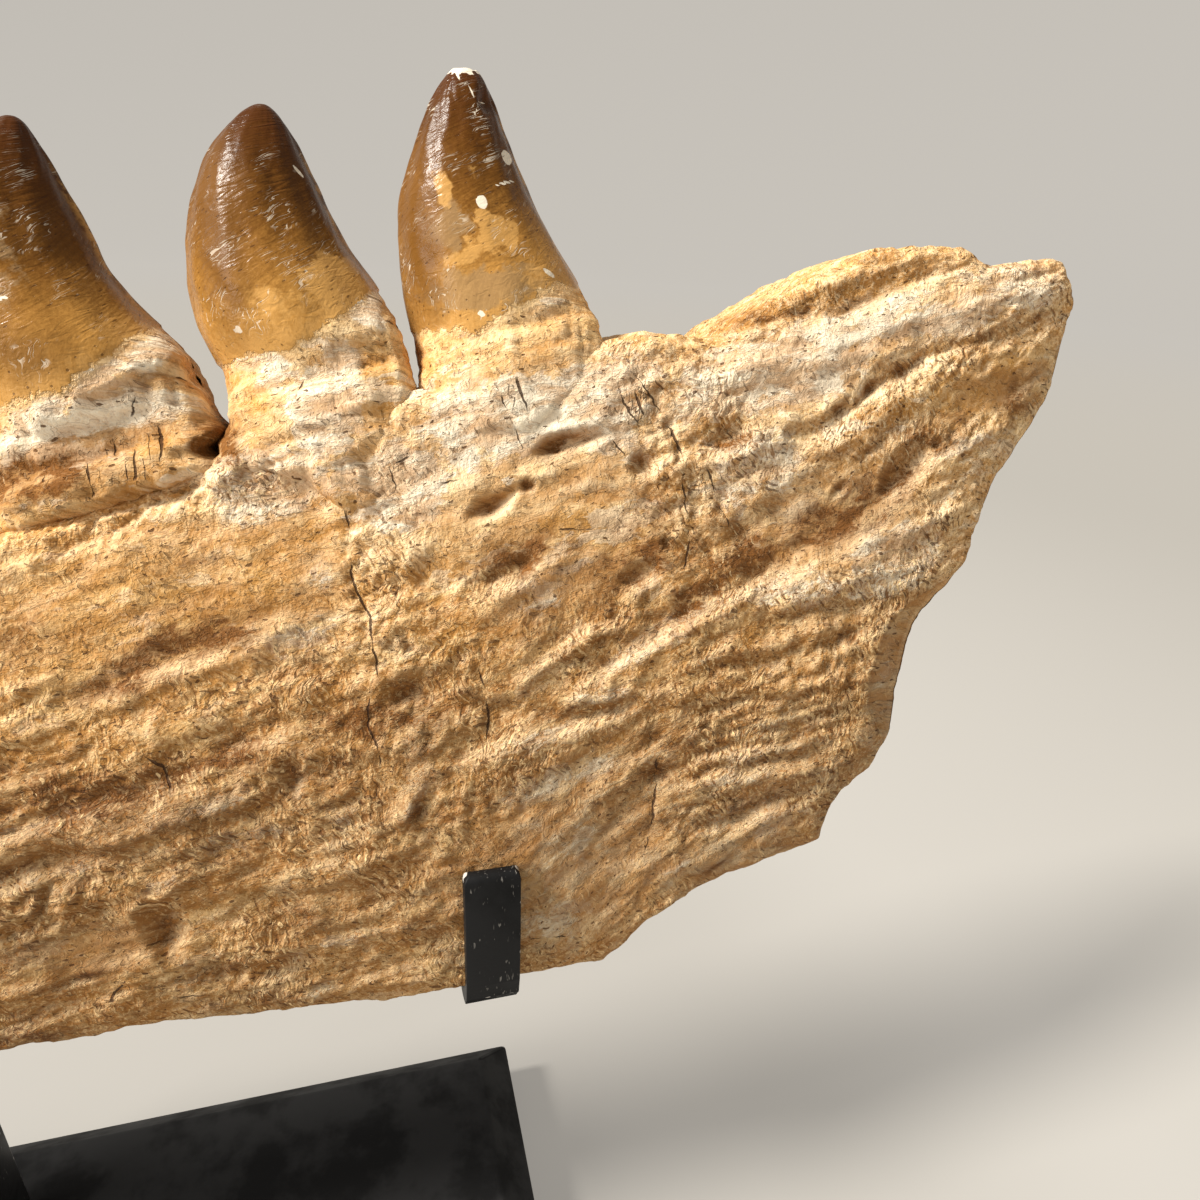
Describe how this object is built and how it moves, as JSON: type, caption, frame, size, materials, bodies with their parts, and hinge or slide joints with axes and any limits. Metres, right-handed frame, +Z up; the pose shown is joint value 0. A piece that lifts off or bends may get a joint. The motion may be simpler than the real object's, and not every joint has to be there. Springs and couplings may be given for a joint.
{
  "type": "fossil mosasaur jaw on a stand",
  "caption": "Fossil lower jaw bone of a marine reptile with its row of curved teeth, leaning in two black clips on a post and bevelled base.",
  "frame": {"origin": "middle of the base's underside", "axes": "+X along the jaw towards its torn rear end, -Y towards the jaw's outer side, +Z up"},
  "size_m": [0.356, 0.08, 0.2637],
  "materials": {
    "fossil_bone": "dry fibrous fossil bone, cream and ochre with brown stains, matt",
    "tooth_enamel": "glossy brown enamel, dark at the tip and amber below, on a matt cream root",
    "black_steel": "satin black paint, worn and chipped at the edges",
    "black_base": "matt black paint with softened bevels"
  },
  "bodies": {
    "root": {"jaw_bone": "fossil_bone", "tooth_1": "tooth_enamel", "tooth_2": "tooth_enamel", "tooth_3": "tooth_enamel", "tooth_4": "tooth_enamel", "tooth_5": "tooth_enamel", "tooth_6": "tooth_enamel", "tooth_7": "tooth_enamel", "tooth_8": "tooth_enamel", "clip_rear": "black_steel", "clip_front": "black_steel", "cross_bar": "black_steel", "post": "black_steel", "base": "black_base"}
  },
  "joints": []
}
